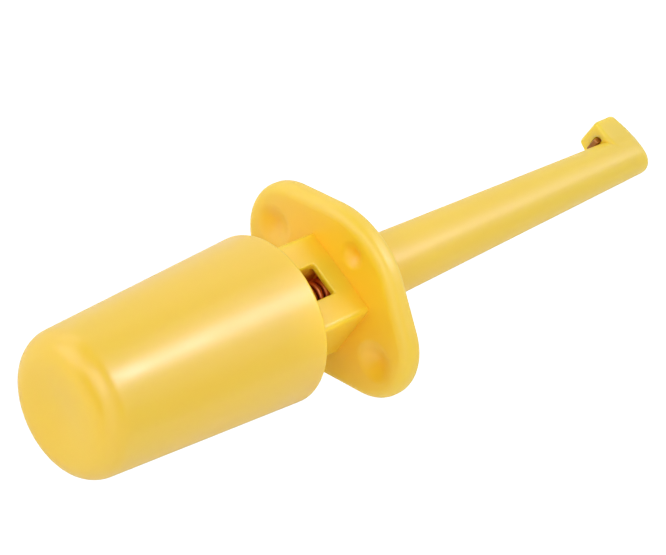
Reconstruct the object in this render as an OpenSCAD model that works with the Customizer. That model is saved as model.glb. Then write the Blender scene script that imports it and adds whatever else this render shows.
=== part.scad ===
// Sprung test hook clip: pressing the cap pushes a metal hook out of a tapered insulating nose.
// Millimetres. X runs along the clip towards the hook, with 0 on the front face of the finger
// flange. Y runs along the flange's wings, with the hook's tooth on the +Y side. Z is up.

/* [Nose] */
// Length of the nose in front of the finger flange
nose_len = 32.2; // [22:0.1:45]
// Diameter of the nose at the flange
nose_root_d = 4.8; // [4.2:0.1:6]
// Diameter of the nose at its tip
nose_tip_d = 3.26; // [2.9:0.02:4]
// Radius of the blend between the nose and the flange
nose_root_r = 0.6; // [0.2:0.05:1]
// Rounding of the nose's front edge
nose_end_r = 0.5; // [0.1:0.05:0.8]
// Diameter of the bore that the hook strip slides in
nose_bore_d = 1.5; // [1.3:0.05:1.8]

/* [Hook tooth] */
// Length of the tooth along the nose, from the nose's end back to the tooth's top rear edge
tooth_len = 2.75; // [2:0.05:4]
// Height of the tooth's top above the clip's axis
tooth_top = 3.2; // [3.1:0.05:4]
// Width of the tooth at its top
tooth_top_w = 2.55; // [2.2:0.05:3.2]
// Width of the tooth at the clip's axis
tooth_root_w = 3.2; // [2.8:0.05:3.8]
// How far the tooth's top front edge lies behind the nose's end
tooth_lean = 0.7; // [0.3:0.05:1]
// Height above the axis where the tooth's front face starts to lean back
tooth_lean_start = 0.7; // [0.5:0.05:1.2]
// How much further back the tooth's rear face lies at the axis than at the tooth's top
tooth_back_lean = 0.6; // [0:0.05:1]
// Rounding of the tooth's top edges
tooth_edge_r = 0.15; // [0.1:0.05:0.4]
// Width of the arched slot through the tooth that takes the hook's end
slot_w = 2; // [1.95:0.05:2.2]
// Room under the hook's end in that slot
slot_room = 0.2; // [0.15:0.05:0.4]

/* [Finger flange] */
// Thickness of the flange
flange_t = 1.8; // [1.4:0.1:3]
// Height of the flange across its middle
flange_h = 13; // [11:0.1:16]
// Span of the flange across its two wings
flange_span = 16.9; // [16:0.1:22]
// Radius of each wing's round end
wing_r = 4.2; // [3.6:0.1:4.6]
// Rounding of the flange's rim
flange_edge_r = 0.8; // [0.2:0.05:1]
// Diameter of the dimple on the back of each wing
wing_dimple_d = 3; // [2:0.1:3.6]
// Distance of the wing dimples from the axis
wing_dimple_y = 5.9; // [5.6:0.1:6.2]
// Diameter of the two small dimples above and below the tail
small_dimple_d = 1.8; // [1:0.1:1.9]
// Distance of the small dimples from the axis
small_dimple_z = 4.5; // [4.3:0.05:4.6]
// Depth of the dimples
dimple_depth = 0.8; // [0.2:0.05:1]
// Slope of the dimples' walls, sideways for each unit of depth
dimple_draft = 0.3; // [0.05:0.05:0.5]

/* [Tail] */
// Width of the tail, along the wings
tail_w = 6.7; // [6:0.1:7.2]
// Height of the tail
tail_h = 5.5; // [4.8:0.1:6]
// Rounding of the tail's long edges
tail_edge_r = 0.35; // [0.1:0.05:0.6]
// Least wall of the tail, above and below its round chamber
tail_wall = 0.45; // [0.3:0.05:0.8]
// Diameter of the pocket in the flange that the spring stands in
pocket_d = 2.9; // [2.7:0.05:3.4]
// Depth of that pocket
pocket_depth = 0.4; // [0.2:0.05:1]
// Distance from the flange to the window in the tail's top
window_front = 1.55; // [1:0.05:3]
// Length of the window
window_len = 7.2; // [4:0.1:9]
// Width of the window
window_w = 2.45; // [1.6:0.05:2.7]

/* [Plunger cap] */
// Length of the cap
cap_len = 17.6; // [16:0.1:24]
// Diameter of the cap at its open rim
cap_rim_d = 11.8; // [11:0.1:15]
// Diameter of the cap at its closed end
cap_end_d = 9.7; // [9.6:0.1:12]
// Rounding of the closed end's edge
cap_end_r = 1.8; // [0.5:0.05:2.2]
// Rounding of the rim's outer edge
cap_rim_r = 0.3; // [0.1:0.05:0.5]
// Thickness of the cap's closed end
cap_floor = 1.8; // [1.2:0.1:3]
// Diameter of the thumb dish in the closed end
dish_d = 5.8; // [3:0.1:6.6]
// Depth of the thumb dish
dish_depth = 0.35; // [0.1:0.05:0.6]
// Gap between the cap's rim and the flange at rest
cap_gap = 5.4; // [5.2:0.1:7]
// Travel of the cap and hook
stroke = 5; // [3:0.1:5]
// Diameter of the boss in the cap that grips the strip
boss_d = 2.5; // [2.2:0.05:2.6]
// How far the boss reaches into the tail at rest
boss_reach = 1.7; // [0.8:0.1:3]
// Widening of the cap's bore from its floor to its rim, on the diameter
bore_draft = 0.4; // [0.1:0.05:0.6]

/* [Hook strip] */
// Width of the strip
strip_w = 1.2; // [0.8:0.05:1.25]
// Thickness of the strip
strip_t = 0.45; // [0.3:0.05:0.5]
// Inside radius of the hook's two bends
bend_r = 0.3; // [0.2:0.05:0.5]
// Height of the hook's returning end above the axis
hook_leg_y = 2.15; // [2.15:0.05:2.3]
// How far the hook's front lies behind the nose's end at rest
hook_inset = 0.1; // [0:0.05:0.4]
// How far the hook's end lies inside the tooth's rear face at rest
hook_tip_inset = 0.3; // [0.05:0.05:0.6]
// How far each barb on the strip's rear bites into the boss
barb_bite = 0.05; // [0.02:0.01:0.1]

/* [Return spring] */
// Outside diameter of the spring
spring_od = 2.3; // [2.1:0.05:2.4]
// Diameter of the spring's wire
spring_wire = 0.32; // [0.2:0.02:0.36]
// Number of working turns
spring_turns = 23; // [12:1:24]

/* [Clearances] */
// Sliding clearance between the tail's corners and the cap's bore
guide_gap = 0.12; // [0.08:0.01:0.3]
// Room left between the cap's floor and the tail at full stroke
stop_gap = 0.1; // [0.05:0.05:0.4]
// Gap between pieces that seat on each other
seat_gap = 0.05; // [0.02:0.01:0.1]
// Gap around the strip in the boss
grip_gap = 0.03; // [0.02:0.01:0.06]
// Gap between the strip's rear end and the cap's floor
strip_end_gap = 0.3; // [0.1:0.05:0.6]

/* [Hidden] */
$fn = 48;
plastic = [0.95, 0.8, 0.36];
copper = [0.8, 0.46, 0.22];
over = 1;

// Stations along X
flange_back = -flange_t;
rim_x = flange_back - cap_gap;
cap_end_x = rim_x - cap_len;
cap_floor_x = cap_end_x + cap_floor;
tail_end_x = cap_floor_x + stroke + stop_gap;
seat_x = flange_back + pocket_depth;
boss_x = tail_end_x + boss_reach;
tooth_back_x = nose_len - tooth_len;
hook_front_x = nose_len - hook_inset;
hook_seat_x = hook_front_x - strip_t - seat_gap;
tooth_root_x = tooth_back_x - tooth_back_lean;
hook_tip_x = tooth_root_x + tooth_back_lean * hook_leg_y / tooth_top + hook_tip_inset;
strip_end_x = cap_floor_x + strip_end_gap;

// Radii and other sizes
flange_mid_r = flange_h / 2;
wing_y = flange_span / 2 - wing_r;
rim_round = min(flange_edge_r, 0.45 * flange_t);
tail_corner_r = norm([tail_w / 2 - tail_edge_r, tail_h / 2 - tail_edge_r]) + tail_edge_r;
cap_bore_r = tail_corner_r + guide_gap;
chamber_r = tail_h / 2 - tail_wall;
dish_r = (pow(dish_d / 2, 2) + pow(dish_depth, 2)) / (2 * dish_depth);
slot_low = hook_leg_y - strip_t / 2 - slot_room;
groove_high = hook_leg_y + strip_t / 2 + slot_room;
groove_w = (slot_w + strip_w) / 2;
coil_r = (spring_od - spring_wire) / 2;
closed_pitch = spring_wire + seat_gap;
coil_front_x = seat_x - seat_gap - spring_wire / 2;
coil_len = coil_front_x - boss_x - seat_gap - spring_wire / 2;
open_pitch = (coil_len - 2 * closed_pitch) / spring_turns;
flange_fn = 40;
coil_steps = 12;
wire_sides = 6;

// Radius of the nose at a station x
function nose_r(x) = (nose_root_d + (nose_tip_d - nose_root_d) * x / nose_len) / 2;

// Corner i of a convex outline p: its neighbours' directions and the half angle between them
function toward(a, b) = (b - a) / norm(b - a);
function before(p, i) = toward(p[i], p[(i + len(p) - 1) % len(p)]);
function after(p, i) = toward(p[i], p[(i + 1) % len(p)]);
function half_angle(p, i) = acos(before(p, i) * after(p, i)) / 2;
function corner_run(p, r, i) = r[i] / tan(half_angle(p, i));
function corner_ends(p, r, i) = r[i] > 0
    ? [p[i] + before(p, i) * corner_run(p, r, i), p[i] + after(p, i) * corner_run(p, r, i)]
    : [p[i]];
function corner_centre(p, r, i) =
    p[i] + (before(p, i) + after(p, i)) * r[i] / (2 * sin(half_angle(p, i)) * cos(half_angle(p, i)));

// Convex outline p with corner i rounded to the radius r[i]
module rounded_outline(p, r) {
    polygon([for (i = [0 : len(p) - 1]) each corner_ends(p, r, i)]);
    for (i = [0 : len(p) - 1])
        if (r[i] > 0)
            translate(corner_centre(p, r, i)) circle(r[i]);
}

// A solid of revolution about X, from a half profile of [radius, x]
module revolved() {
    rotate([90, 0, 90]) rotate_extrude() children();
}

// A cylinder or cone along X
module rod(x0, x1, r0, r1) {
    translate([x0, 0, 0]) rotate([0, 90, 0]) cylinder(h = x1 - x0, r1 = r0, r2 = r1);
}

// A box of width w between two stations along X and two places along Y
module bar(x0, x1, y0, y1, w) {
    translate([x0, y0, -w / 2]) cube([x1 - x0, y1 - y0, w]);
}

// An outline in [y, z] carried along X
module carried(x0, x1) {
    translate([x0, 0, 0]) rotate([90, 0, 90]) linear_extrude(x1 - x0) children();
}

// Tapered nose with a blended root and a rounded front edge
module nose() {
    root_x = flange_back / 2;
    revolved() {
        rounded_outline(
            [[0, root_x], [nose_r(root_x), root_x], [nose_tip_d / 2, nose_len], [0, nose_len]],
            [0, 0, nose_end_r, 0]);
        difference() {
            translate([0, root_x]) square([nose_root_d / 2 + nose_root_r, nose_root_r - root_x]);
            translate([nose_root_d / 2 + nose_root_r, nose_root_r]) circle(nose_root_r);
        }
    }
}

// Tooth at the tip: where a side, a front and a plan outline meet
module tooth() {
    side = [[tooth_root_x, 0], [tooth_back_x, tooth_top], [nose_len - tooth_lean, tooth_top],
        [nose_len, tooth_lean_start], [nose_len, 0]];
    front = [[0, -tooth_root_w / 2], [tooth_top, -tooth_top_w / 2], [tooth_top, tooth_top_w / 2],
        [0, tooth_root_w / 2]];
    plan = [[tooth_root_x - over, -tooth_root_w / 2], [nose_len, -tooth_root_w / 2],
        [nose_len, tooth_root_w / 2], [tooth_root_x - over, tooth_root_w / 2]];
    intersection() {
        linear_extrude(2 * tooth_root_w, center = true)
            rounded_outline(side, [0, tooth_edge_r, tooth_edge_r, nose_end_r, 0]);
        carried(tooth_root_x - over, nose_len + over)
            rounded_outline(front, [0, tooth_edge_r, tooth_edge_r, 0]);
        rotate([90, 0, 0]) linear_extrude(4 * tooth_top, center = true)
            rounded_outline(plan, [0, nose_end_r, nose_end_r, 0]);
    }
}

// Arched slot through the tooth: the upper half of a bore along X
module slot() {
    intersection() {
        translate([0, slot_low, 0]) rod(tooth_root_x - over, nose_len + over, slot_w / 2, slot_w / 2);
        bar(tooth_root_x - 2 * over, nose_len + 2 * over, slot_low, tooth_top, 2 * slot_w);
    }
}

// Half profile of a plate as thick as the flange, with a rounded rim at radius r
module plate_profile(r) {
    rounded_outline([[0, flange_back], [r, flange_back], [r, 0], [0, 0]], [0, rim_round, rim_round, 0]);
}

// Finger flange: the hull of a round-rimmed plate at the middle and a smaller one on each wing
module flange() {
    hull() {
        revolved() plate_profile(flange_mid_r, $fn = flange_fn);
        for (side = [-1, 1])
            translate([0, side * wing_y, 0]) revolved() plate_profile(wing_r, $fn = flange_fn);
    }
}

// Round recess in the back of the flange, with sloping walls
module dimple(d) {
    rod(flange_back - over, flange_back + dimple_depth,
        d / 2 + dimple_draft * over, d / 2 - dimple_draft * dimple_depth);
}

// Square-sided tail that the cap slides on
module tail() {
    half = [tail_w / 2, tail_h / 2];
    carried(tail_end_x, flange_back + rim_round / 2)
        rounded_outline([-half, [half.x, -half.y], half, [-half.x, half.y]], [for (i = [0 : 3]) tail_edge_r]);
}

// Moulded body: nose with its tooth, finger flange and tail in one piece
module probe_body() {
    window_x = flange_back - window_front;
    color(plastic) difference() {
        union() {
            nose();
            tooth();
            flange();
            tail();
        }
        rod(tail_end_x - over, flange_back, chamber_r, chamber_r);
        rod(flange_back - over, seat_x, pocket_d / 2, pocket_d / 2);
        rod(seat_x - over, nose_len + over, nose_bore_d / 2, nose_bore_d / 2);
        slot();
        bar(hook_seat_x, nose_len + over, 0, groove_high, groove_w);
        translate([window_x - window_len, -window_w / 2, 0]) cube([window_len, window_w, tail_h]);
        for (side = [-1, 1]) {
            translate([0, side * wing_dimple_y, 0]) dimple(wing_dimple_d);
            translate([0, 0, side * small_dimple_z]) dimple(small_dimple_d);
        }
    }
}

// Half profile of the cap: a drafted bore inside a rounded cone, with the boss in its middle
module cap_profile() {
    rim_bore_r = cap_bore_r + bore_draft / 2;
    difference() {
        rounded_outline(
            [[0, cap_end_x], [cap_end_d / 2, cap_end_x], [cap_rim_d / 2, rim_x], [0, rim_x]],
            [0, cap_end_r, cap_rim_r, 0]);
        polygon([[boss_d / 2, cap_floor_x], [cap_bore_r, cap_floor_x], [rim_bore_r, rim_x],
            [rim_bore_r, rim_x + over], [0, rim_x + over], [0, boss_x], [boss_d / 2, boss_x]]);
    }
}

// Hollow cap with a thumb dish in its closed end and a slit boss that grips the strip
module plunger_cap() {
    color(plastic) difference() {
        revolved() cap_profile();
        translate([cap_end_x + dish_depth - dish_r, 0, 0]) sphere(dish_r, $fn = 96);
        bar(cap_floor_x, boss_x + over, -strip_t / 2 - grip_gap, strip_t / 2 + grip_gap,
            strip_w + 2 * grip_gap);
    }
}

// Side view of the strip: shank, front bridge and the end that returns through the tooth
module hook_profile() {
    high_y = hook_leg_y + strip_t / 2;
    inner_x = hook_front_x - strip_t;
    difference() {
        rounded_outline(
            [[strip_end_x, -strip_t / 2], [hook_front_x, -strip_t / 2], [hook_front_x, high_y], [strip_end_x, high_y]],
            [0, bend_r + strip_t, bend_r + strip_t, 0]);
        rounded_outline(
            [[strip_end_x - over, strip_t / 2], [inner_x, strip_t / 2], [inner_x, high_y - strip_t],
                [strip_end_x - over, high_y - strip_t]],
            [0, bend_r, bend_r, 0]);
        translate([strip_end_x - over, strip_t / 2]) square([hook_tip_x - strip_end_x + over, high_y]);
    }
}

// Pair of barbs on the strip's edges, at a station x, pointing forwards
module barbs(x) {
    reach = strip_w / 2 + grip_gap + barb_bite;
    rotate([90, 0, 0]) linear_extrude(strip_t, center = true)
        polygon([[x, -strip_w / 2], [x + strip_w, -reach], [x + strip_w, reach], [x, strip_w / 2]]);
}

// Flat hook strip, bent into a hook at the front and barbed at the rear
module hook_strip() {
    color(copper) {
        linear_extrude(strip_w, center = true) hook_profile();
        for (i = [1, 3]) barbs(strip_end_x + i * strip_w);
    }
}

// Station along X of the spring wire's centre after u turns from its front end
function coil_x(u) = coil_front_x
    - closed_pitch * min(u, 1)
    - open_pitch * max(min(u - 1, spring_turns), 0)
    - closed_pitch * max(u - 1 - spring_turns, 0);

// Point on the wire's surface: u turns along the coil, angle a round the wire
function wire_point(u, a) = let (r = coil_r + spring_wire / 2 * cos(a))
    [coil_x(u) + spring_wire / 2 * sin(a), r * cos(360 * u), r * sin(360 * u)];

// Coil spring with one closed turn at each end
module return_spring() {
    rings = (spring_turns + 2) * coil_steps;
    points = [for (k = [0 : rings], s = [0 : wire_sides - 1]) wire_point(k / coil_steps, s * 360 / wire_sides)];
    sides = [for (k = [0 : rings - 1], s = [0 : wire_sides - 1]) let (n = (s + 1) % wire_sides)
        [k * wire_sides + s, k * wire_sides + n, (k + 1) * wire_sides + n, (k + 1) * wire_sides + s]];
    first = [for (s = [wire_sides - 1 : -1 : 0]) s];
    last = [for (s = [0 : wire_sides - 1]) rings * wire_sides + s];
    color(copper) polyhedron(points, concat(sides, [first, last]), convexity = 10);
}

probe_body();
plunger_cap();
hook_strip();
return_spring();
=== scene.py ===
"""Sprung test hook clip, dressed for rendering round its packed solids.

Four pieces: the moulded body, the cap that presses over its tail, the bent hook strip that the cap
carries through the nose, and the return spring. Every surface is worked out with numpy in metres, in
the solids' own frame: X runs along the clip towards the hook, with 0 on the front face of the finger
flange, Y runs along the flange's wings, with the tooth on the +Y side, and Z is up.
"""

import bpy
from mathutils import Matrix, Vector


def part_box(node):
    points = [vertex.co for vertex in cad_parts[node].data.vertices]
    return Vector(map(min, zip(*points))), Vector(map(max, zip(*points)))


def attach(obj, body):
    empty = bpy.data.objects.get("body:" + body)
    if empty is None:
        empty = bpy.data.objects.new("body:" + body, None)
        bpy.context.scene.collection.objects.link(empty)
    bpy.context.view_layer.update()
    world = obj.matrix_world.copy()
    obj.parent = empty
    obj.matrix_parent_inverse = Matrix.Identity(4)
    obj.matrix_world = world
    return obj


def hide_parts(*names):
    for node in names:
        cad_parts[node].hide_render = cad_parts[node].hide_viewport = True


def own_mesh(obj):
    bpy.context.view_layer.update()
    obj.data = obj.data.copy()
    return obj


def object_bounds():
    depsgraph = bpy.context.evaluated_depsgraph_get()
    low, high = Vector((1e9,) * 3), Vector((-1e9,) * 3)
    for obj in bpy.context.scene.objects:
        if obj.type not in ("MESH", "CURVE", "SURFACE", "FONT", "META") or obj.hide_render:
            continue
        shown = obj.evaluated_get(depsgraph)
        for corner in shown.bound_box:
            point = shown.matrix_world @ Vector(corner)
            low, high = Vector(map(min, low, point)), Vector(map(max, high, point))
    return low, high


bl_info = {
    "name": "Test Hook Clip",
    "version": (1, 0, 0),
    "blender": (4, 5, 0),
    "location": "View3D > Sidebar > Test Clip",
    "description": "Makes a sprung test hook clip: moulded body, plunger cap, hook strip and return spring",
    "category": "Add Mesh",
}

import math

import bpy
import numpy as np
from bpy.props import FloatProperty, FloatVectorProperty, IntProperty, PointerProperty
from mathutils import Matrix, Vector

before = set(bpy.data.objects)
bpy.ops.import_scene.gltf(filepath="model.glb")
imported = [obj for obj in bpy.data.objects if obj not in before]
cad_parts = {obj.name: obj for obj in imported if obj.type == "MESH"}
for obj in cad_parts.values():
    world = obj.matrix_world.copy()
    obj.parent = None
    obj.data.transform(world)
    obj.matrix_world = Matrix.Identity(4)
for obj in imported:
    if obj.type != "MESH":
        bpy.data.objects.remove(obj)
CAD_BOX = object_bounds()
BODY_LOW, BODY_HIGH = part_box("probe_body")
CAP_LOW, CAP_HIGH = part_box("plunger_cap")
STRIP_LOW, STRIP_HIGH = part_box("hook_strip")
SPRING_LOW, SPRING_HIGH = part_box("return_spring")

MM = 0.001
SHARP_EDGE = math.radians(38)
OVER = 1 * MM
LEAST_R = 0.02 * MM
STRIP_T = 0.45 * MM
# The hook's returning leg lies this much lower than the solid's, on the nose
LEG_DROP = 0.2 * MM
# Studio panels round the clip: azimuth from +X and elevation in degrees, and brightness
PANELS = ((0, 50, 1.0), (45, 50, 0.5), (135, 50, 0.2), (180, 50, 1.8), (225, 50, 0.7), (315, 50, 0.9),
          (0, 14, 0.8), (45, 14, 0.7), (90, 14, 1.2), (135, 14, 1.8), (225, 14, 0.9), (270, 14, 0.6),
          (315, 14, 0.4))
# Lamps that only show as reflections: direction from the clip, and width and height in metres
OVERHEAD_AWAY, OVERHEAD_SIZE = (0.52, -0.13, 0.85), (0.30, 0.08)
BRIGHT_AWAY, BRIGHT_SIZE = (0.33, -0.17, 0.92), (0.08, 0.08)
SPOT_AWAY = (-0.30, -0.65, 0.70)


# Properties

def linear(code):
    """Linear RGB of an sRGB hex colour."""
    part = np.array([int(code[i:i + 2], 16) / 255 for i in (1, 3, 5)])
    return tuple(np.where(part <= 0.04045, part / 12.92, ((part + 0.055) / 1.055) ** 2.4))


def length(label, description, metres):
    """A length that the user can set."""
    return FloatProperty(name=label, description=description, default=metres, unit="LENGTH", precision=5)


def share(label, description, value):
    """A share from 0 to 1 that the user can set."""
    return FloatProperty(name=label, description=description, default=value, min=0, max=1, subtype="FACTOR")


def tint(label, description, code):
    """A colour that the user can set."""
    return FloatVectorProperty(name=label, description=description, default=linear(code), size=3,
                               min=0, max=1, subtype="COLOR")


class NoseSizes(bpy.types.PropertyGroup):
    """Sizes of the tapered nose and of the tooth at its tip."""
    end_x: length("Nose end", "Where the nose ends, ahead of the flange's front face", BODY_HIGH.x)
    root_d: length("Root diameter", "Diameter of the nose at the flange", 4.8 * MM)
    tip_d: length("Tip diameter", "Diameter of the nose at its end", 3.26 * MM)
    root_r: length("Root blend", "Radius of the blend between nose and flange", 0.6 * MM)
    end_r: length("End rounding", "Rounding of the front edge at its top and bottom", 0.4 * MM)
    side_r: length("Side rounding", "Rounding of the front edge at its sides", 1.2 * MM)
    bore_d: length("Bore", "Diameter of the bore that the hook strip slides in", 1.5 * MM)
    tooth_len: length("Tooth length", "Length from the nose's end back to the tooth's top rear edge",
                      2.75 * MM)
    tooth_top: length("Tooth height", "Height of the tooth's top above the axis", 3.2 * MM)
    tooth_top_w: length("Tooth top width", "Width of the tooth at its top", 2.55 * MM)
    tooth_root_w: length("Tooth root width", "Width of the tooth at the axis", 3.2 * MM)
    tooth_lean: length("Tooth lean", "How far the tooth's top front edge lies back", 0.55 * MM)
    lean_start: length("Lean start", "Height where the front face starts to lean", 0.7 * MM)
    back_lean: length("Back lean", "How much further back the tooth's rear lies at the axis than on top",
                      0.6 * MM)
    tooth_edge_r: length("Tooth rounding", "Rounding of the tooth's edges", 0.34 * MM)
    slot_w: length("Slot width", "Width of the arched slot through the tooth", 1.6 * MM)
    slot_h: length("Slot height", "Height of that slot", 0.64 * MM)
    slot_room: length("Slot room", "Room under the hook's end in the slot", 0.02 * MM)


class GripSizes(bpy.types.PropertyGroup):
    """Sizes of the finger flange and of the tail behind it."""
    flange_t: length("Flange thickness", "Thickness of the flange", 1.8 * MM)
    flange_h: length("Flange height", "Height of the flange across its middle", 13 * MM)
    span: length("Flange span", "Span of the flange across its wings", BODY_HIGH.y - BODY_LOW.y)
    wing_r: length("Wing radius", "Radius of each wing's round end", 4.2 * MM)
    rim_r: length("Rim rounding", "Rounding of the flange's rim", 0.8 * MM)
    wing_dimple_d: length("Wing dimple", "Diameter of the dimple on each wing's back", 3 * MM)
    wing_dimple_y: length("Wing dimple place", "Distance of the wing dimples from the axis", 5.9 * MM)
    small_dimple_d: length("Small dimple", "Diameter of the dimples above and below the tail", 1.8 * MM)
    small_dimple_z: length("Small dimple place", "Distance of the small dimples from the axis", 4.5 * MM)
    dimple_depth: length("Dimple depth", "Depth of the dimples", 0.5 * MM)
    dimple_lip_r: length("Dimple lip", "Width of the soft lip round the dimples", 0.25 * MM)
    tail_end: length("Tail end", "Where the tail ends, behind the flange's front face", BODY_LOW.x)
    tail_w: length("Tail width", "Width of the tail, along the wings", 6.7 * MM)
    tail_h: length("Tail height", "Height of the tail", 5.5 * MM)
    tail_edge_r: length("Tail rounding", "Rounding of the tail's long edges", 0.35 * MM)
    tail_wall: length("Tail wall", "Least wall of the tail, above and below its round chamber", 0.45 * MM)
    pocket_d: length("Pocket diameter", "Diameter of the pocket that the spring stands in", 2.9 * MM)
    pocket_depth: length("Pocket depth", "Depth of that pocket in the flange", 0.4 * MM)
    trough_len: length("Trough length", "Length of the chamber's front, a trough as wide as the window",
                       4.5 * MM)
    window_front: length("Window place", "Distance from the flange to the window", 1.55 * MM)
    window_len: length("Window length", "Length of the window in the tail's top", 7.2 * MM)
    window_w: length("Window width", "Width of the window", 2.45 * MM)
    window_edge_r: length("Window rounding", "Rounding of the window's edge", 0.12 * MM)


class CapSizes(bpy.types.PropertyGroup):
    """Sizes of the plunger cap."""
    end_x: length("Closed end", "Where the cap's closed end lies", CAP_LOW.x)
    rim_x: length("Open rim", "Where the cap's open rim lies", CAP_HIGH.x)
    rim_d: length("Rim diameter", "Diameter of the cap at its open rim", 11.8 * MM)
    end_d: length("End diameter", "Diameter of the cap at its closed end", 9.7 * MM)
    end_r: length("End rounding", "Rounding of the closed end's edge", 1.8 * MM)
    rim_r: length("Rim rounding", "Rounding of the rim's outer edge", 0.3 * MM)
    floor_t: length("End thickness", "Thickness of the closed end", 1.8 * MM)
    dish_d: length("Dish diameter", "Diameter of the thumb dish", 6.0 * MM)
    dish_depth: length("Dish depth", "Depth of the thumb dish", 0.25 * MM)
    bore_d: length("Bore", "Diameter of the bore at the cap's floor", 8.62 * MM)
    bore_draft: length("Bore draft", "Widening of the bore towards the rim", 0.4 * MM)
    boss_d: length("Boss diameter", "Diameter of the boss that grips the strip", 2.5 * MM)
    boss_x: length("Boss end", "Where the boss ends", SPRING_LOW.x - 0.05 * MM)
    grip_gap: length("Grip gap", "Gap around the strip in the boss", 0.03 * MM)


class MetalSizes(bpy.types.PropertyGroup):
    """Sizes of the hook strip and of the return spring."""
    strip_end: length("Strip end", "Where the strip's rear end lies", STRIP_LOW.x)
    strip_front: length("Hook front", "Where the hook's front lies", STRIP_HIGH.x)
    strip_w: length("Strip width", "Width of the strip", 1.2 * MM)
    strip_t: length("Strip thickness", "Thickness of the strip", STRIP_T)
    strip_edge_r: length("Strip rounding", "Rounding of the strip's edges", 0.07 * MM)
    bend_r: length("Bend radius", "Inside radius of the hook's bends", 0.3 * MM)
    leg_y: length("Hook height", "Height of the hook's returning end above the axis",
                  STRIP_HIGH.y - STRIP_T / 2 - LEG_DROP)
    hook_reach: length("Hook reach", "How far the hook's end stands out behind the tooth's back", 0.4 * MM)
    barb_reach: length("Barb reach", "Half width of the strip across its barbs", STRIP_HIGH.z)
    spring_front: length("Spring front", "Where the spring's front end lies", SPRING_HIGH.x)
    spring_back: length("Spring back", "Where the spring's rear end lies", SPRING_LOW.x)
    spring_d: length("Spring diameter", "Outside diameter of the spring", 2.3 * MM)
    wire_d: length("Wire diameter", "Diameter of the spring's wire", 0.42 * MM)
    turns: IntProperty(name="Working turns", description="Turns between the two closed ones", default=23)
    closed_pitch: length("Closed pitch", "Pitch of the closed turn at each end", 0.47 * MM)


class Finishes(bpy.types.PropertyGroup):
    """Colours and finish of the materials."""
    plastic: tint("Plastic", "Dye of the moulded plastic", "#FFD122")
    plastic_flow: tint("Plastic flow", "Dye where the melt flowed last", "#FFCE1E")
    cap_gloss: share("Cap roughness", "Roughness of the cap's skin", 0.34)
    body_gloss: share("Body roughness", "Roughness of the body's skin", 0.42)
    cap_depth: length("Cap depth", "How far light spreads inside the cap's thin shell", 0.8 * MM)
    body_depth: length("Body depth", "How far light spreads inside the body", 2.0 * MM)
    strip: tint("Strip", "Bright metal of the hook strip", "#C98A4A")
    strip_dull: tint("Dull strip", "Tarnished metal of the hook strip", "#94602F")
    wire: tint("Wire", "Bright metal of the spring", "#F5A368")
    wire_dull: tint("Dull wire", "Tarnished metal of the spring", "#C87440")


class StageSettings(bpy.types.PropertyGroup):
    """Camera, floor and lights."""
    eye: FloatVectorProperty(name="Camera place", description="Where the camera stands", unit="LENGTH",
                             subtype="XYZ", default=(-95.60 * MM, -37.05 * MM, 108.68 * MM))
    aim: FloatVectorProperty(name="Camera aim", description="Point in the middle of the picture",
                             subtype="XYZ", unit="LENGTH", default=(-0.31 * MM, 0.73 * MM, 0))
    roll: FloatProperty(name="Camera roll", description="Turn of the camera about its own axis",
                        subtype="ANGLE", default=math.radians(37.42))
    lens: FloatProperty(name="Lens", description="Focal length on a sensor 36 mm wide",
                        subtype="DISTANCE_CAMERA", default=118.92)
    floor_size: length("Floor size", "Side of the square floor", 2.0)
    floor_glow: FloatProperty(name="Floor glow", description="Brightness of the floor panel", default=1.0)
    light_tint: tint("Light", "Cool white of the studio's panels", "#E8E8FF")
    panel_size: length("Panel size", "Side of each square panel", 0.32)
    panel_distance: length("Panel distance", "Distance of the panels from the clip", 0.45)
    panel_glow: FloatProperty(name="Panel glow", description="Brightness of the panels together",
                              default=1.2)
    sky_glow: FloatProperty(name="Room glow", description="Brightness of the room between the panels",
                            default=0.27)
    spot_power: FloatProperty(name="Spot", description="Power of the spot on the window", subtype="POWER",
                              unit="POWER", default=1.0)
    spot_angle: FloatProperty(name="Spot angle", description="Width of the spot's cone", subtype="ANGLE",
                              default=math.radians(1.6))
    spot_aim: FloatVectorProperty(name="Spot aim", description="Point in the window that the spot shines on",
                                  subtype="XYZ", unit="LENGTH", default=(-4.2 * MM, 0.2 * MM, 1.8 * MM))
    spot_distance: length("Spot distance", "Distance of the spot from that point", 0.3)
    spot_radius: length("Spot radius", "Radius of the spot's lamp", 2 * MM)
    key_power: FloatProperty(name="Key light", description="Power of the long softbox overhead",
                             subtype="POWER", unit="POWER", default=0.35)
    bright_power: FloatProperty(name="Bright end", description="Power of the small softbox at its end",
                                subtype="POWER", unit="POWER", default=0.27)
    key_distance: length("Key distance", "Distance of these two softboxes from the clip", 0.4)


# Outlines and surfaces

def rounded(corners, radii, steps, closed=False):
    """Outline through the corners, where an arc that touches both sides replaces each corner with a radius.

    The arc's centre lies on the line that halves the corner, radius / sin(half angle) away. A point at the
    share t of the sweep is sin((1 - t) sweep) / sin(sweep) of the first arm plus sin(t sweep) / sin(sweep)
    of the last one.
    """
    points = np.asarray(corners, float)
    count = len(points)
    t = np.linspace(0, 1, steps)[:, None]
    runs = []
    for i, radius in enumerate(radii):
        if radius == 0 or (not closed and i in (0, count - 1)):
            runs.append(points[i:i + 1])
            continue
        back = points[i - 1] - points[i]
        ahead = points[(i + 1) % count] - points[i]
        back /= np.linalg.norm(back)
        ahead /= np.linalg.norm(ahead)
        half = math.acos(np.clip(back @ ahead, -1, 1)) / 2
        sweep = math.pi - 2 * half
        centre = points[i] + (back + ahead) / np.linalg.norm(back + ahead) * radius / math.sin(half)
        first = points[i] + back * radius / math.tan(half) - centre
        last = points[i] + ahead * radius / math.tan(half) - centre
        runs.append(centre + (np.sin((1 - t) * sweep) * first + np.sin(t * sweep) * last) / math.sin(sweep))
    return np.concatenate(runs)


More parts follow.
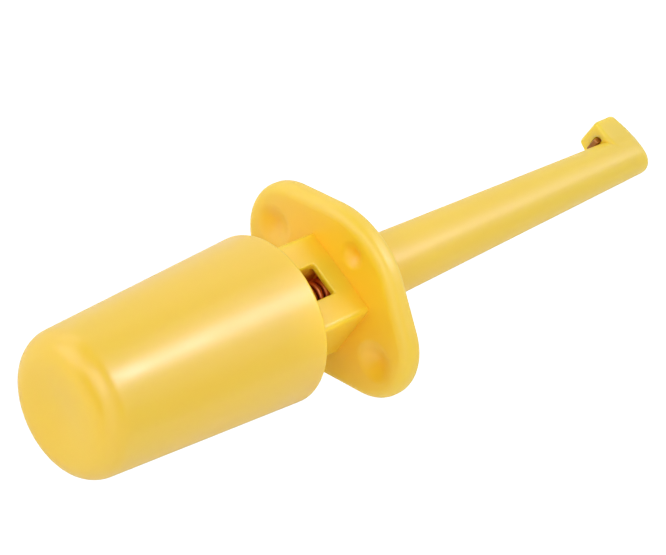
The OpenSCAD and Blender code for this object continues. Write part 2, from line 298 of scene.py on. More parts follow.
def spaced_angles(count, places, spread, gain):
    """Angles round the axis, even steps of a density that is 1 plus a bell of that gain at each place."""
    fine = np.linspace(-math.pi, math.pi, 20001)
    density = 1 + gain * sum(np.exp(-((fine - place) / spread) ** 2) for place in places)
    total = np.concatenate([[0], np.cumsum((density[1:] + density[:-1]) / 2)])
    return np.interp(np.linspace(0, total[-1], count, endpoint=False), total, fine)


def corner_reach(angle, first, second, radius):
    """Distance from the axis to two straight sides that meet in a round corner, at each angle.

    A side is given by its normal's angle and its distance d, and lies d / cos(angle - normal) away. Between
    the arc's ends the reach is c.u + sqrt((c.u)^2 - c.c + r^2), for the arc's centre c and the direction u.
    """
    (a, da), (b, db) = first, second
    sine = math.sin(b - a)
    inner_a, inner_b = da - radius, db - radius
    cy = (inner_a * math.sin(b) - inner_b * math.sin(a)) / sine
    cz = (inner_b * math.cos(a) - inner_a * math.cos(b)) / sine
    start = np.arctan2(cz + radius * math.sin(a), cy + radius * math.cos(a))
    stop = np.arctan2(cz + radius * math.sin(b), cy + radius * math.cos(b))
    along = cy * np.cos(angle) + cz * np.sin(angle)
    arc = along + np.sqrt(np.maximum(along ** 2 - cy ** 2 - cz ** 2 + radius ** 2, 0))
    side_a = da / np.maximum(np.cos(angle - a), 1e-6)
    side_b = db / np.maximum(np.cos(angle - b), 1e-6)
    return np.where(angle < start, side_a, np.where(angle > stop, side_b, arc))


def soft_max(a, b, width):
    """The larger of two reaches, with a fillet where they differ by less than the width."""
    near = np.maximum(width - np.abs(a - b), 0)
    return np.maximum(a, b) + near ** 2 / (4 * np.maximum(width, 1e-9))


def tail_reach(phi, grip, grow):
    """Reach of the tail's rounded rectangle, grown all round."""
    angle = np.arctan2(np.abs(np.sin(phi)), np.abs(np.cos(phi)))
    radius = np.maximum(grip.tail_edge_r + grow, LEAST_R)
    return corner_reach(angle, (0, grip.tail_w / 2 + grow), (math.pi / 2, grip.tail_h / 2 + grow), radius)


def flange_reach(phi, grip, inset):
    """Reach of the flange's outline, the hull of a middle circle and one on each wing, less the inset.

    The flank that touches both circles has its normal at acos((R - r) / d). Up to its touching point the
    reach is that of the wing's circle, d cos + sqrt(r^2 - d^2 sin^2), and past the normal it is R.
    """
    angle = np.arctan2(np.abs(np.sin(phi)), np.abs(np.cos(phi)))
    wing_y = grip.span / 2 - grip.wing_r
    middle = grip.flange_h / 2 - inset
    wing = grip.wing_r - inset
    normal = math.acos((grip.flange_h / 2 - grip.wing_r) / wing_y)
    touch = np.arctan2(wing * math.sin(normal), wing_y + wing * math.cos(normal))
    wing_arc = wing_y * np.cos(angle) + np.sqrt(np.maximum(wing ** 2 - (wing_y * np.sin(angle)) ** 2, 0))
    flank = middle / np.cos(np.minimum(np.abs(angle - normal), 1.2))
    return np.where(angle < touch, wing_arc, np.where(angle < normal, flank, middle))


def nose_reach(x, nose):
    """Radius of the nose's straight taper at x."""
    return (nose.root_d + (nose.tip_d - nose.root_d) * x / nose.end_x) / 2


def tooth_back(y, nose):
    """Station of the tooth's leaning rear face at a height y above the axis."""
    return nose.end_x - nose.tooth_len - nose.back_lean * (1 - y / nose.tooth_top)


def tooth_reach(phi, nose, inset):
    """Reach of the tooth's cross-section, a trapezium with round top corners, drawn in by the inset."""
    angle = np.arccos(np.cos(phi))
    slope = (nose.tooth_root_w - nose.tooth_top_w) / 2 / nose.tooth_top
    normal = math.atan2(1, slope)
    side = nose.tooth_root_w / 2 * math.sin(normal)
    radius = np.maximum(nose.tooth_edge_r - inset, LEAST_R)
    reach = corner_reach(angle, (0, nose.tooth_top - inset), (normal, side - inset), radius)
    return np.where(np.cos(phi) > 0, reach, 0)


def tip_reach(phi, x, nose, inset, tooth_inset):
    """Reach of the nose and its tooth together, blended where the tooth's flanks leave the round nose."""
    blend = 0.3 * MM * np.clip(2.5 * np.cos(phi), 0, 1)
    return soft_max(nose_reach(x, nose) - inset, tooth_reach(phi, nose, tooth_inset), blend)


def around(x, reach, phi):
    """Points at a distance from the axis, at each angle, for each station x."""
    x, reach, phi = np.broadcast_arrays(x, reach, phi)
    return np.stack([x, reach * np.cos(phi), reach * np.sin(phi)], axis=-1)


def revolved(profile, steps, centre=(0, 0)):
    """Rings of a profile of (x, radius) turned about a line along X through the centre."""
    phi = np.linspace(0, 2 * math.pi, steps, endpoint=False)
    rings = around(profile[:, :1], profile[:, 1:], phi)
    return rings + np.array([0, *centre])


# Meshes

def solid(name, rings, poles):
    """Closed mesh object from an array of [ring, point, xyz], with a fan to a pole at each end.

    If the sum of p0 . (p1 x p2) over its triangles is negative, the faces are turned round.
    """
    rows, columns = rings.shape[:2]
    points = np.concatenate([rings.reshape(-1, 3), np.asarray(poles, float)])
    here = np.arange(columns)
    there = np.roll(here, -1)
    first = np.arange(rows - 1)[:, None] * columns
    quads = np.stack([first + here, first + there, first + columns + there, first + columns + here], -1)
    quads = quads.reshape(-1, 4)
    last = (rows - 1) * columns
    pole = np.full(columns, rows * columns)
    fans = np.concatenate([np.stack([there, here, pole], -1),
                           np.stack([last + here, last + there, pole + 1], -1)])
    triangles = np.concatenate([quads[:, :3], quads[:, [0, 2, 3]], fans])
    a, b, c = (points[triangles[:, i]] for i in range(3))
    if np.einsum("ij,ij->", a, np.cross(b, c)) < 0:
        quads, fans = quads[:, ::-1], fans[:, ::-1]
    mesh = bpy.data.meshes.new(name)
    mesh.from_pydata(points.tolist(), [], quads.tolist() + fans.tolist())
    piece = bpy.data.objects.new(name, mesh)
    bpy.context.scene.collection.objects.link(piece)
    return piece


def channel(name, half, radii, stations, grow, axes, centre):
    """Solid of a rectangle with four corner radii, carried along an axis and grown at each station.

    The corners go round from (+, +) by (-, +) and (-, -) to (+, -). The axes give, for X, Y and Z in turn,
    which of the rectangle's first side (0), its second side (1) and the station (2) lies along it.
    """
    rings = []
    for station, more in zip(stations, grow):
        a, b = half[0] + more, half[1] + more
        outline = rounded([(a, b), (-a, b), (-a, -b), (a, -b)], [radius + more for radius in radii], 9,
                          closed=True)
        rings.append(np.column_stack([outline, np.full(len(outline), station)])[:, axes])
    rings = np.array(rings) + np.asarray(centre)
    return solid(name, rings, [rings[0].mean(0), rings[-1].mean(0)])


def cut(piece, cutters):
    """Takes the cutters' solids out of a piece's mesh, and removes them."""
    for cutter in cutters:
        step = piece.modifiers.new(cutter.name, "BOOLEAN")
        step.operation = "DIFFERENCE"
        step.solver = "MANIFOLD"
        step.object = cutter
    graph = bpy.context.evaluated_depsgraph_get()
    mesh = bpy.data.meshes.new_from_object(piece.evaluated_get(graph))
    piece.modifiers.clear()
    piece.data = mesh
    for cutter in cutters:
        bpy.data.objects.remove(cutter)


def finish_piece(piece, material, body, node):
    """Smooths a piece between its sharp edges, gives it its material and stands it for its solid."""
    if not piece.data.polygons:
        raise RuntimeError(f"{piece.name} came out empty")
    piece.data.shade_smooth()
    piece.data.set_sharp_from_angle(angle=SHARP_EDGE)
    piece.data.materials.clear()
    piece.data.materials.append(material)
    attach(piece, body)
    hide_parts(node)


# Materials

def add(tree, kind, inputs=(), **settings):
    """Adds a node with its settings; an input takes a value, or a link from another node's socket."""
    made = tree.nodes.new(kind)
    for name, value in settings.items():
        setattr(made, name, value)
    for name, value in dict(inputs).items():
        if isinstance(value, bpy.types.NodeSocket):
            tree.links.new(value, made.inputs[name])
        else:
            made.inputs[name].default_value = value
    return made


def new_material(name):
    """An empty node material with its output."""
    material = bpy.data.materials.get(name) or bpy.data.materials.new(name)
    material.use_nodes = True
    material.node_tree.nodes.clear()
    return material, material.node_tree, material.node_tree.nodes.new("ShaderNodeOutputMaterial")


def moulded_polypropylene(name, finishes, gloss, depth):
    """Polypropylene dyed through and injection moulded in a polished, slightly matted tool.

    Light goes a millimetre or two into it, so shaded corners glow a deeper yellow, and the skin has a soft
    waxy gloss. The dye drifts a little over centimetres, and the skin is very slightly uneven.
    """
    material, tree, output = new_material(name)
    place = add(tree, "ShaderNodeTexCoord").outputs["Object"]
    flow_size = 9 * MM
    peel_size = 1.6 * MM
    flow = add(tree, "ShaderNodeTexNoise", {"Vector": place, "Scale": 1 / flow_size, "Detail": 2.0})
    peel = add(tree, "ShaderNodeTexNoise", {"Vector": place, "Scale": 1 / peel_size, "Detail": 1.0})
    dye = add(tree, "ShaderNodeMix", {0: flow.outputs["Fac"], 6: (*finishes.plastic, 1),
                                      7: (*finishes.plastic_flow, 1)}, data_type="RGBA")
    matt = add(tree, "ShaderNodeMapRange", {"Value": peel.outputs["Fac"], "From Min": 0.3, "From Max": 0.7,
                                            "To Min": gloss - 0.03, "To Max": gloss + 0.03})
    skin = add(tree, "ShaderNodeBump", {"Height": peel.outputs["Fac"], "Strength": 0.15,
                                        "Distance": 0.02 * MM})
    shader = add(tree, "ShaderNodeBsdfPrincipled", {
        "Base Color": dye.outputs[2], "Roughness": matt.outputs["Result"], "IOR": 1.5,
        "Specular IOR Level": 0.9, "Subsurface Weight": 0.7, "Subsurface Radius": (1.0, 1.0, 0.2),
        "Subsurface Scale": depth, "Normal": skin.outputs["Normal"]})
    tree.links.new(shader.outputs["BSDF"], output.inputs["Surface"])
    return material


def rolled_bronze(finishes):
    """Phosphor bronze strip, rolled and sheared: fine lines along it and a brown, patchy tarnish."""
    material, tree, output = new_material("rolled_phosphor_bronze")
    place = add(tree, "ShaderNodeTexCoord").outputs["Object"]
    line_width = 0.04 * MM
    patch_size = 0.6 * MM
    along = add(tree, "ShaderNodeMapping", {"Vector": place, "Scale": (0.02, 1, 1)})
    lines = add(tree, "ShaderNodeTexNoise", {"Vector": along.outputs["Vector"], "Scale": 1 / line_width})
    patches = add(tree, "ShaderNodeTexNoise", {"Vector": place, "Scale": 1 / patch_size, "Detail": 4.0})
    metal = add(tree, "ShaderNodeMix", {0: patches.outputs["Fac"], 6: (*finishes.strip, 1),
                                        7: (*finishes.strip_dull, 1)}, data_type="RGBA")
    polish = add(tree, "ShaderNodeMapRange", {"Value": lines.outputs["Fac"], "To Min": 0.35, "To Max": 0.6})
    scored = add(tree, "ShaderNodeBump", {"Height": lines.outputs["Fac"], "Strength": 0.3,
                                          "Distance": 0.01 * MM})
    shader = add(tree, "ShaderNodeBsdfPrincipled", {
        "Base Color": metal.outputs[2], "Metallic": 1.0, "Roughness": polish.outputs["Result"],
        "Normal": scored.outputs["Normal"]})
    tree.links.new(shader.outputs["BSDF"], output.inputs["Surface"])
    return material


def coppered_wire(finishes):
    """Spring wire drawn through a die with a copper flash: bright where it rubs, brown in patches."""
    material, tree, output = new_material("copper_plated_spring_wire")
    place = add(tree, "ShaderNodeTexCoord").outputs["Object"]
    patch_size = 0.5 * MM
    patches = add(tree, "ShaderNodeTexNoise", {"Vector": place, "Scale": 1 / patch_size, "Detail": 5.0})
    metal = add(tree, "ShaderNodeMix", {0: patches.outputs["Fac"], 6: (*finishes.wire, 1),
                                        7: (*finishes.wire_dull, 1)}, data_type="RGBA")
    polish = add(tree, "ShaderNodeMapRange", {"Value": patches.outputs["Fac"], "To Min": 0.3, "To Max": 0.5})
    shader = add(tree, "ShaderNodeBsdfPrincipled", {
        "Base Color": metal.outputs[2], "Metallic": 1.0, "Roughness": polish.outputs["Result"]})
    tree.links.new(shader.outputs["BSDF"], output.inputs["Surface"])
    return material


def white_panel(stage):
    """White acrylic light panel: matt, lit from below, so things on it hardly cast a shadow."""
    material, tree, output = new_material("white_acrylic_panel")
    shader = add(tree, "ShaderNodeBsdfPrincipled", {
        "Base Color": (*linear("#F4F4F4"), 1), "Roughness": 0.7, "Specular IOR Level": 0.0,
        "Emission Color": (1, 1, 1, 1), "Emission Strength": stage.floor_glow})
    tree.links.new(shader.outputs["BSDF"], output.inputs["Surface"])
    return material


def matt_paper():
    """White cotton paper: quite matt, so it throws a soft, even light up at the clip."""
    material, tree, output = new_material("white_cotton_paper")
    fibre_size = 0.4 * MM
    place = add(tree, "ShaderNodeTexCoord").outputs["Object"]
    fibres = add(tree, "ShaderNodeTexNoise", {"Vector": place, "Scale": 1 / fibre_size, "Detail": 3.0})
    pulp = add(tree, "ShaderNodeMix", {0: fibres.outputs["Fac"], 6: (*linear("#F3F3F3"), 1),
                                       7: (*linear("#EEEEEE"), 1)}, data_type="RGBA")
    shader = add(tree, "ShaderNodeBsdfPrincipled", {
        "Base Color": pulp.outputs[2], "Roughness": 1.0, "Specular IOR Level": 0.0})
    tree.links.new(shader.outputs["BSDF"], output.inputs["Surface"])
    return material


# Pieces

def body_rings(nose, grip):
    """Rings of the body's outside from the tail's end to the nose's end, and the two poles that shut it.

    Each stretch is a reach from the axis as a function of the station and the angle: the tail's rounded
    rectangle, the flange's outline with a rounded rim, the nose's taper and the tooth. A rounded edge of
    radius r at an angle t of its quarter turn lies r (1 - cos t) along the axis and r (1 - sin t) inside
    the outline.
    """
    corner = math.atan2(grip.tail_h, grip.tail_w)
    tooth = math.atan2(nose.tooth_top_w / 2, nose.tooth_top)
    marks = [corner, math.pi - corner, tooth, 2.9 * tooth]
    phi = spaced_angles(360, [sign * mark for mark in marks for sign in (-1, 1)], 0.09, 4)
    turn = np.linspace(0, math.pi / 2, 12)[:, None]
    rise, run = 1 - np.cos(turn), 1 - np.sin(turn)
    back = -grip.flange_t
    rim = min(grip.rim_r, 0.45 * grip.flange_t)
    edge = 0.2 * MM
    stretches = []

    def lay(x, reach):
        stretches.append(around(x, reach, phi))

    # Tail: rear edge and long sides
    lay(grip.tail_end + edge * rise, tail_reach(phi, grip, -edge * run))
    lay(np.linspace(grip.tail_end + 2 * edge, back, 12)[:, None], tail_reach(phi, grip, 0))
    # Flange: back, rounded rim, front
    inner, outer = tail_reach(phi, grip, 0), flange_reach(phi, grip, rim)
    lay(np.full((8, 1), back), inner + (outer - inner) * np.linspace(0, 1, 10)[1:-1, None])
    lay(back + rim * rise, flange_reach(phi, grip, rim * run))
    lay(-rim * rise[::-1], flange_reach(phi, grip, rim * run[::-1]))
    foot = nose.root_d / 2 + nose.root_r
    lay(np.zeros((6, 1)), outer + (foot - outer) * np.linspace(0, 1, 8)[1:-1, None])
    # Nose: blend at its root, then the straight taper
    lay(nose.root_r * rise, nose_reach(0, nose) + nose.root_r * run + 0 * phi)
    root_x = tooth_back(nose.tip_d / 2, nose)
    x = np.linspace(2 * nose.root_r, root_x - 0.1 * MM, 24)[:, None]
    lay(x, nose_reach(x, nose) + 0 * phi)
    # Tooth: leaning rear face, rounded rear edge, run to the front
    round_r = nose.tooth_edge_r
    low = nose_reach(root_x, nose) + 0 * phi
    high = tip_reach(phi, root_x, nose, 0, round_r)
    reach = low + (high - low) * np.linspace(0, 1, 9)[:, None]
    lay(np.maximum(tooth_back(reach * np.cos(phi), nose), root_x), reach)
    rear = np.maximum(tooth_back(high * np.cos(phi), nose), root_x)
    lay(rear + round_r * rise[1:], tip_reach(phi, rear, nose, 0, round_r * run[1:]))
    # Front: a face that leans back above the lean's start, and its edge, which is rounded by end_r at the
    # top and bottom and by side_r at the sides, with the square of the angle's sine between them
    slope = nose.tooth_lean / (nose.tooth_top - nose.lean_start)
    soft = 0.25 * MM

    def face(y):
        return nose.end_x - slope * soft * np.logaddexp(0, (y - nose.lean_start) / soft)

    edge_r = nose.end_r + (nose.side_r - nose.end_r) * np.sin(phi) ** 2
    start = rear + round_r
    section = tip_reach(phi, start, nose, 0, 0)
    stop = face(section * np.cos(phi)) - edge_r
    t = np.linspace(0, 1, 8)[1:-1, None]
    x = start + (stop - start) * t
    lay(x, tip_reach(phi, x, nose, 0, 0))
    reach = tip_reach(phi, nose.end_x - nose.end_r, nose, edge_r * rise, edge_r * rise)
    lay(face(reach * np.cos(phi)) - edge_r * run, reach)
    reach = reach[-1] * np.linspace(1, 0, 14)[1:-1, None]
    lay(face(reach * np.cos(phi)), reach)
    return np.concatenate(stretches), [(grip.tail_end, 0, 0), (face(0), 0, 0)]


def dimple_cutter(name, grip, diameter, y, z):
    """A round dish in the flange's back.

    It is half a cosine wave deep, level at its middle and nearly so at its lip, where it starts a hair
    behind the flange's back so that the two surfaces cross cleanly.
    """
    back = -grip.flange_t
    hair = 0.01 * MM
    mouth = diameter / 2 + grip.dimple_lip_r
    radius = np.linspace(mouth, 0, 28)[:-1]
    depth = -hair + (grip.dimple_depth + hair) * (1 + np.cos(math.pi * radius / mouth)) / 2
    profile = np.concatenate([[(back - OVER, mouth)], np.column_stack([back + depth, radius])])
    poles = [(back - OVER, y, z), (back + grip.dimple_depth, y, z)]
    return solid(name, revolved(profile, 64, (y, z)), poles)


def body_cutters(nose, grip, metal):
    """The solids that the body's bores, window, slot, groove and dimples leave open."""
    back = -grip.flange_t
    seat = back + grip.pocket_depth
    chamber = grip.tail_h / 2 - grip.tail_wall
    trough = back - grip.trough_len
    ends = grip.tail_end - OVER, nose.end_x + OVER
    bore = np.array([(ends[0], chamber), (trough, chamber), (trough, grip.pocket_d / 2),
                     (seat, grip.pocket_d / 2), (seat, nose.bore_d / 2), (ends[1], nose.bore_d / 2)])
    cutters = [solid("bore_cut", revolved(bore, 64), [(ends[0], 0, 0), (ends[1], 0, 0)])]
    # The trough has a round bottom a little below the spring and is as high as the chamber
    room, corner, overlap = 0.02 * MM, 0.3 * MM, 0.3 * MM
    half = grip.window_w / 2 + room
    bottom = 0.97 * half
    cutters.append(channel("trough_cut", (half, (chamber + half) / 2), [corner, corner, bottom, bottom],
                           [trough - overlap, back], [0, 0], [2, 0, 1], (0, 0, (chamber - half) / 2)))
    turn = np.linspace(0, math.pi / 2, 8)
    lip = grip.window_edge_r
    top = grip.tail_h / 2
    stations = [0, *(top - lip + 1.03 * lip * np.sin(turn)), top + OVER]
    grow = [0, *(lip * (1 - np.cos(turn))), lip]
    middle = back - grip.window_front - grip.window_len / 2
    cutters.append(channel("window_cut", (grip.window_len / 2, grip.window_w / 2), [0.15 * MM] * 4,
                           stations, grow, [0, 1, 2], (middle, 0, 0)))
    # The slot is arched: its two upper corners take up all the height that its lower ones leave
    low = metal.leg_y - metal.strip_t / 2 - nose.slot_room
    foot = 0.1 * MM
    arch = nose.slot_h - foot - 0.01 * MM
    cutters.append(channel("slot_cut", (nose.slot_h / 2, nose.slot_w / 2), [arch, foot, foot, arch],
                           [tooth_back(0, nose) - OVER, nose.end_x + OVER], [0, 0], [2, 0, 1],
                           (0, low + nose.slot_h / 2, 0)))
    groove_high = metal.leg_y + metal.strip_t / 2 + nose.slot_room
    groove_half = (nose.slot_w + metal.strip_w) / 4
    groove_back = metal.strip_front - metal.strip_t - 0.05 * MM
    cutters.append(channel("groove_cut", (groove_high / 2, groove_half), [0.1 * MM] * 4,
                           [groove_back, nose.end_x + OVER], [0, 0], [2, 0, 1], (0, groove_high / 2, 0)))
    for i, side in enumerate((-1, 1)):
        y, z = side * grip.wing_dimple_y, side * grip.small_dimple_z
        cutters.append(dimple_cutter(f"wing_dimple_{i}", grip, grip.wing_dimple_d, y, 0))
        cutters.append(dimple_cutter(f"small_dimple_{i}", grip, grip.small_dimple_d, 0, z))
    return cutters


class CLIP_OT_body(bpy.types.Operator):
    """Make the moulded body: nose and tooth, finger flange and tail in one piece"""
    bl_idname = "test_clip.body"
    bl_label = "Moulded Body"

    def execute(self, context):
        scene = context.scene
        piece = solid("moulded_body", *body_rings(scene.clip_nose, scene.clip_grip))
        cut(piece, body_cutters(scene.clip_nose, scene.clip_grip, scene.clip_metal))
        finishes = scene.clip_finish
        plastic = moulded_polypropylene("body_polypropylene", finishes, finishes.body_gloss,
                                        finishes.body_depth)
        finish_piece(piece, plastic, "body", "probe_body")
        return {"FINISHED"}


class CLIP_OT_cap(bpy.types.Operator):
    """Make the plunger cap: a hollow cone with a thumb dish and a slit boss inside"""
    bl_idname = "test_clip.cap"
    bl_label = "Plunger Cap"

    def execute(self, context):
        cap, metal = context.scene.clip_cap, context.scene.clip_metal
        floor = cap.end_x + cap.floor_t
        bore = cap.bore_d / 2
        # The dish is half a cosine wave deep, level at its middle and at its edge
        spread = np.linspace(0, cap.dish_d / 2, 26)[1:-1]
        dish = cap.end_x + cap.dish_depth * (1 + np.cos(2 * math.pi * spread / cap.dish_d)) / 2
        corners = [(cap.end_x, cap.dish_d / 2), (cap.end_x, cap.end_d / 2), (cap.rim_x, cap.rim_d / 2),
                   (cap.rim_x, bore + cap.bore_draft / 2), (floor, bore), (floor, cap.boss_d / 2),
                   (cap.boss_x, cap.boss_d / 2), (cap.boss_x, 0)]
        lip_r, floor_r, boss_r = 0.15 * MM, 0.4 * MM, 0.2 * MM
        radii = [0, cap.end_r, cap.rim_r, lip_r, floor_r, boss_r, boss_r, 0]
        profile = np.concatenate([np.column_stack([dish, spread]), rounded(corners, radii, 16)[:-1]])
        rings = revolved(profile, 224)
        piece = solid("plunger_cap_shell", rings, [(cap.end_x + cap.dish_depth, 0, 0), (cap.boss_x, 0, 0)])
        half = (metal.strip_t / 2 + cap.grip_gap, metal.strip_w / 2 + cap.grip_gap)
        cut(piece, [channel("slit_cut", half, [0.05 * MM] * 4, [floor, cap.boss_x + OVER], [0, 0],
                            [2, 0, 1], (0, 0, 0))])
        finishes = context.scene.clip_finish
        plastic = moulded_polypropylene("cap_polypropylene", finishes, finishes.cap_gloss,
                                        finishes.cap_depth)
        finish_piece(piece, plastic, "plunger", "plunger_cap")
        return {"FINISHED"}


class CLIP_OT_strip(bpy.types.Operator):
    """Make the hook strip: a flat strip bent back twice at the front and barbed at the rear"""
    bl_idname = "test_clip.strip"
    bl_label = "Hook Strip"

    def execute(self, context):
        metal, nose = context.scene.clip_metal, context.scene.clip_nose
        front = metal.strip_front - metal.strip_t / 2
        tip = tooth_back(metal.leg_y, nose) - metal.hook_reach
        bend = metal.bend_r + metal.strip_t / 2
        # Stations behind the first bend: two barbs, each a strip's width long, that end in a step
        step = 0.02 * MM
        barbs = (metal.strip_end + np.array([0, 1, 2, 2, 3, 4, 4]) * metal.strip_w
                 + np.array([0, 0, 0, 1, 0, 0, 1]) * step)
        widths = np.array([1, 1, 0, 1, 1, 0, 1])
        path = rounded([(metal.strip_end, 0), (front, 0), (front, metal.leg_y), (tip, metal.leg_y)],
                       [0, bend, bend, 0], 14)
        path = np.concatenate([np.column_stack([barbs, 0 * barbs]), path[1:]])
        half = np.full(len(path), metal.strip_w / 2)
        half[:len(barbs)] = np.where(widths, metal.strip_w / 2, metal.barb_reach)
        # The first and last section are drawn in, as sheared ends are
        path = np.concatenate([path[:1], path, path[-1:]])
        half = np.concatenate([half[:1], half, half[-1:]])
        shear = np.zeros(len(path))
        shear[[0, -1]] = metal.strip_edge_r
        path[1, 0] += metal.strip_edge_r
        path[-2, 0] += metal.strip_edge_r
        ahead = np.gradient(path, axis=0)
        ahead /= np.linalg.norm(ahead, axis=1)[:, None]
        a = metal.strip_t / 2
        corner = metal.strip_edge_r
        flat = metal.strip_w / 2
        section = rounded([(a, flat), (-a, flat), (-a, -flat), (a, -flat)], [corner] * 4, 5, closed=True)
        thick = section[:, 0] * (1 - shear / a)[:, None]
        wide = section[:, 1] * ((half - shear) / flat)[:, None]
        rings = np.stack([path[:, :1] - ahead[:, 1:] * thick, path[:, 1:] + ahead[:, :1] * thick, wide], -1)
        piece = solid("bronze_hook_strip", rings, [rings[0].mean(0), rings[-1].mean(0)])
        bronze = rolled_bronze(context.scene.clip_finish)
        finish_piece(piece, bronze, "plunger", "hook_strip")
        return {"FINISHED"}


class CLIP_OT_spring(bpy.types.Operator):
    """Make the return spring: round wire wound in open turns with a closed turn at each end"""
    bl_idname = "test_clip.spring"
    bl_label = "Return Spring"

    def execute(self, context):
        metal = context.scene.clip_metal
        wire_r = metal.wire_d / 2
        coil_r = metal.spring_d / 2 - wire_r
        front = metal.spring_front - wire_r
        run = metal.spring_front - metal.spring_back - metal.wire_d
        # After u turns the wire has gone closed_pitch in each end turn and the open pitch between them
        u = np.linspace(0, metal.turns + 2, 48 * (metal.turns + 2) + 1)
        gone = np.interp(u, [0, 1, metal.turns + 1, metal.turns + 2],
                         [0, metal.closed_pitch, run - metal.closed_pitch, run])
        turn = 2 * math.pi * u
        middle = np.column_stack([front - gone, coil_r * np.cos(turn), coil_r * np.sin(turn)])
        outward = np.column_stack([0 * u, np.cos(turn), np.sin(turn)])
        along = np.gradient(middle, axis=0)
        along /= np.linalg.norm(along, axis=1)[:, None]
        across = np.cross(along, outward)
        ring = np.linspace(0, 2 * math.pi, 14, endpoint=False)
        rings = (middle[:, None] + wire_r * np.cos(ring)[None, :, None] * outward[:, None]
                 + wire_r * np.sin(ring)[None, :, None] * across[:, None])
        piece = solid("copper_return_spring", rings, [middle[0], middle[-1]])
        copper = coppered_wire(context.scene.clip_finish)
        finish_piece(piece, copper, "body", "return_spring")
        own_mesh(piece)
        return {"FINISHED"}


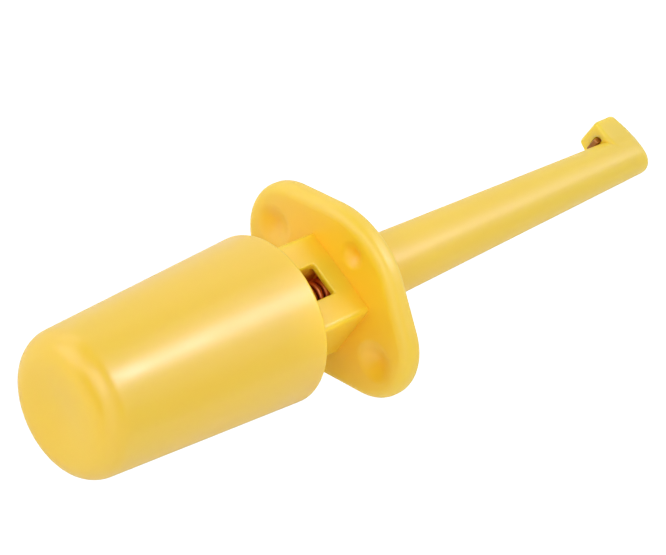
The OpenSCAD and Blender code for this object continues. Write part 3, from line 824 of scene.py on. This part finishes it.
class CLIP_OT_stage(bpy.types.Operator):
    """Make the stage: lit floor, paper, ring of panels, reflection lamps, window spot and camera"""
    bl_idname = "test_clip.stage"
    bl_label = "Stage"

    def execute(self, context):
        scene = context.scene
        stage = scene.clip_stage
        scene.view_settings.view_transform = "Standard"
        # The camera alone sees an evenly lit panel, and the paper under the clip throws light up at it
        panel = self.sheet(scene, "floor", stage.floor_size, white_panel(stage))
        panel.visible_diffuse = panel.visible_glossy = False
        panel.visible_transmission = panel.visible_shadow = False
        paper = self.sheet(scene, "paper", stage.floor_size, matt_paper())
        paper.visible_camera = False
        scene.world = bpy.data.worlds.new("studio_room")
        scene.world.use_nodes = True
        room = scene.world.node_tree.nodes["Background"]
        room.inputs["Color"].default_value = (*stage.light_tint, 1)
        room.inputs["Strength"].default_value = stage.sky_glow
        size = (stage.panel_size, stage.panel_size)
        for azimuth, elevation, glow in PANELS:
            turn, rise = math.radians(azimuth), math.radians(elevation)
            level = math.cos(rise)
            away = Vector((level * math.cos(turn), level * math.sin(turn), math.sin(rise)))
            power = math.pi * stage.panel_size ** 2 * stage.panel_glow * glow
            self.softbox(scene, f"panel_{azimuth}_{elevation}", power, away, stage.panel_distance, size)
        # Lamps that only show as reflections: the long softbox overhead and its bright end
        for name, power, away, size in (
                ("overhead_softbox", stage.key_power, OVERHEAD_AWAY, OVERHEAD_SIZE),
                ("bright_softbox", stage.bright_power, BRIGHT_AWAY, BRIGHT_SIZE)):
            self.softbox(scene, name, power, away, stage.key_distance, size).visible_diffuse = False
        # A spot with a narrow, soft cone on the window
        spot = bpy.data.lights.new("window_spot", "SPOT")
        spot.energy = stage.spot_power
        spot.color = stage.light_tint
        spot.shadow_soft_size = stage.spot_radius
        spot.spot_size = stage.spot_angle
        spot.spot_blend = 1.0
        lamp = bpy.data.objects.new("window_spot", spot)
        away = Vector(SPOT_AWAY).normalized()
        lamp.matrix_world = (Matrix.Translation(Vector(stage.spot_aim) + stage.spot_distance * away)
                             @ away.to_track_quat("Z", "X").to_matrix().to_4x4())
        scene.collection.objects.link(lamp)
        eye, aim = Vector(stage.eye), Vector(stage.aim)
        camera = bpy.data.objects.new("camera", bpy.data.cameras.new("camera"))
        camera.data.sensor_width = 36
        camera.data.lens = stage.lens
        camera.data.clip_start = 0.005
        turn = (aim - eye).to_track_quat("-Z", "Y").to_matrix() @ Matrix.Rotation(stage.roll, 3, "Z")
        camera.matrix_world = Matrix.Translation(eye) @ turn.to_4x4()
        scene.collection.objects.link(camera)
        scene.camera = camera
        return {"FINISHED"}

    def sheet(self, scene, name, side, material):
        """A square sheet that the clip lies on."""
        half = side / 2
        low = CAD_BOX[0].z
        mesh = bpy.data.meshes.new(name)
        corners = [(-half, -half, low), (half, -half, low), (half, half, low), (-half, half, low)]
        mesh.from_pydata(corners, [], [(0, 1, 2, 3)])
        mesh.materials.append(material)
        piece = bpy.data.objects.new(name, mesh)
        scene.collection.objects.link(piece)
        return piece

    def softbox(self, scene, name, power, direction, distance, size):
        """A rectangular light that faces the clip from a direction."""
        light = bpy.data.lights.new(name, "AREA")
        light.shape = "RECTANGLE"
        light.size, light.size_y = size
        light.energy = power
        light.color = scene.clip_stage.light_tint
        lamp = bpy.data.objects.new(name, light)
        away = Vector(direction).normalized()
        lamp.matrix_world = (Matrix.Translation(distance * away)
                             @ away.to_track_quat("Z", "X").to_matrix().to_4x4())
        scene.collection.objects.link(lamp)
        return lamp


class CLIP_PT_sidebar(bpy.types.Panel):
    """Sizes, finishes and buttons of the test hook clip"""
    bl_idname = "CLIP_PT_sidebar"
    bl_label = "Test Hook Clip"
    bl_space_type = "VIEW_3D"
    bl_region_type = "UI"
    bl_category = "Test Clip"

    def draw(self, context):
        for step in STEPS:
            self.layout.operator(step.bl_idname)
        for name, group in GROUPS.items():
            box = self.layout.box()
            box.label(text=group.__doc__)
            for key in group.__annotations__:
                box.prop(getattr(context.scene, name), key)


GROUPS = {"clip_nose": NoseSizes, "clip_grip": GripSizes, "clip_cap": CapSizes, "clip_metal": MetalSizes,
          "clip_finish": Finishes, "clip_stage": StageSettings}
STEPS = [CLIP_OT_stage, CLIP_OT_body, CLIP_OT_cap, CLIP_OT_strip, CLIP_OT_spring]


def register():
    for kind in [*GROUPS.values(), *STEPS, CLIP_PT_sidebar]:
        bpy.utils.register_class(kind)
    for name, group in GROUPS.items():
        setattr(bpy.types.Scene, name, PointerProperty(type=group))


def unregister():
    for name in GROUPS:
        delattr(bpy.types.Scene, name)
    for kind in reversed([*GROUPS.values(), *STEPS, CLIP_PT_sidebar]):
        bpy.utils.unregister_class(kind)


def main():
    register()
    bpy.ops.test_clip.stage()
    bpy.ops.test_clip.body()
    bpy.ops.test_clip.cap()
    bpy.ops.test_clip.strip()
    bpy.ops.test_clip.spring()


if __name__ == "__main__":
    main()
